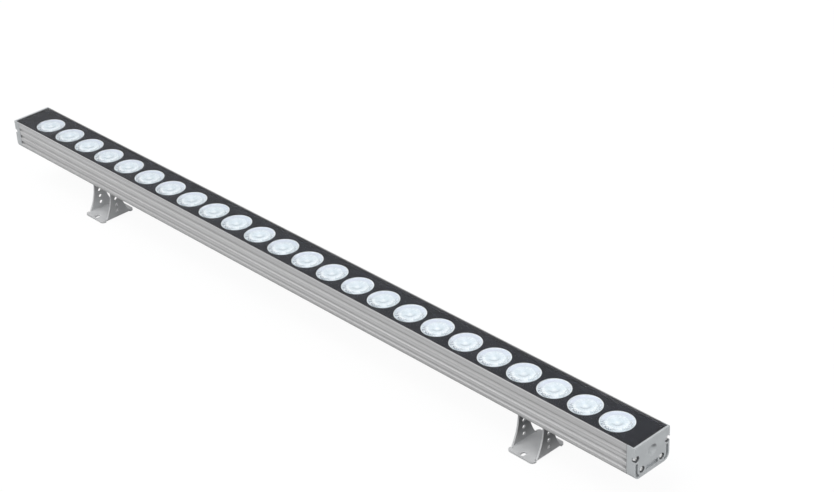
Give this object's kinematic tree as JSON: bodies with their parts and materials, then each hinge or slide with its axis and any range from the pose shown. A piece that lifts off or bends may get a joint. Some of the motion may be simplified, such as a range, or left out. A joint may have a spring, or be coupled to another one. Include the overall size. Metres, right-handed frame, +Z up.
{
  "type": "outdoor wall washer light",
  "caption": "Slim linear wall washer: grooved aluminium housing, glass front with a row of round lenses, end caps, and two tilting foot brackets that slide along its T-slot.",
  "frame": {"origin": "centre of the mounting plane under the two bracket bases", "axes": "+X along the light towards the plugged end, -Y the front side, +Z up out of the mounting plane, the way the glass faces"},
  "size_m": [1, 0.05, 0.085],
  "materials": {
    "anodised_extrusion": "satin, fine lines along its length",
    "cast_cap": "satin grey powder coat",
    "bracket_sheet": "satin grey powder coat",
    "block_metal": "machined",
    "bright_screw": "bright",
    "grey_silicone": "matt",
    "black_rubber": "matt",
    "cover_glass": "clear polished",
    "black_print": "satin black",
    "clear_lens": "clear moulded acrylic",
    "white_plastic": "matt",
    "white_board": "solder mask",
    "emitter": "phosphor under silicone",
    "chip_black": "matt",
    "green_plastic": "matt",
    "nylon": "matt"
  },
  "bodies": {
    "bracket_left": {"bracket_left": "bracket_sheet"},
    "carriage_left": {"hinge_block_left": "block_metal", "t_nut_left": "block_metal", "clamp_screw_left": "bright_screw", "pivot_screws_left": "bright_screw", "pivot_washers_left": "nylon"},
    "housing": {"housing_profile": "anodised_extrusion", "end_cap_left": "cast_cap", "end_cap_right": "cast_cap", "end_gasket_left": "grey_silicone", "end_gasket_right": "grey_silicone", "cap_screws_left": "bright_screw", "cap_screws_right": "bright_screw", "cable_grommet": "black_rubber", "entry_plug": "cast_cap", "cover_glass": "cover_glass", "glass_print": "black_print", "glass_seal": "black_rubber", "lens_01": "clear_lens", "lens_02": "clear_lens", "lens_03": "clear_lens", "lens_04": "clear_lens", "lens_05": "clear_lens", "lens_06": "clear_lens", "lens_07": "clear_lens", "lens_08": "clear_lens", "lens_09": "clear_lens", "lens_10": "clear_lens", "lens_11": "clear_lens", "lens_12": "clear_lens", "lens_13": "clear_lens", "lens_14": "clear_lens", "lens_15": "clear_lens", "lens_16": "clear_lens", "lens_17": "clear_lens", "lens_18": "clear_lens", "lens_19": "clear_lens", "lens_20": "clear_lens", "lens_21": "clear_lens", "lens_22": "clear_lens", "lens_23": "clear_lens", "lens_24": "clear_lens", "lens_holders_left": "white_plastic", "lens_holders_right": "white_plastic", "led_board_left": "white_board", "led_board_right": "white_board", "led_emitters_left": "emitter", "led_emitters_right": "emitter", "driver_chips_left": "chip_black", "driver_chips_right": "chip_black", "board_screws": "bright_screw", "board_jumpers": "white_plastic", "terminal_block": "green_plastic"},
    "carriage_right": {"hinge_block_right": "block_metal", "t_nut_right": "block_metal", "clamp_screw_right": "bright_screw", "pivot_screws_right": "bright_screw", "pivot_washers_right": "nylon"},
    "bracket_right": {"bracket_right": "bracket_sheet"}
  },
  "joints": [
    {"name": "tilt", "type": "hinge", "parent": "bracket_left", "child": "carriage_left", "pos_m": [-0.353, 0, 0.038], "axis": [1, 0, 0], "range_deg": [-90, 90]},
    {"name": "left_slide", "type": "slide", "parent": "carriage_left", "child": "housing", "axis": [1, 0, 0], "range_m": [-0.3, 0.11]},
    {"name": "right_slide", "type": "slide", "parent": "housing", "child": "carriage_right", "axis": [1, 0, 0], "range_m": [-0.3, 0.11]},
    {"name": "tilt_right", "type": "hinge", "parent": "carriage_right", "child": "bracket_right", "pos_m": [0.353, 0, 0.038], "axis": [1, 0, 0], "range_deg": [-90, 90]}
  ],
  "couplings": [
    {"joint": "tilt_right", "follows": "tilt", "ratio": -1}
  ]
}
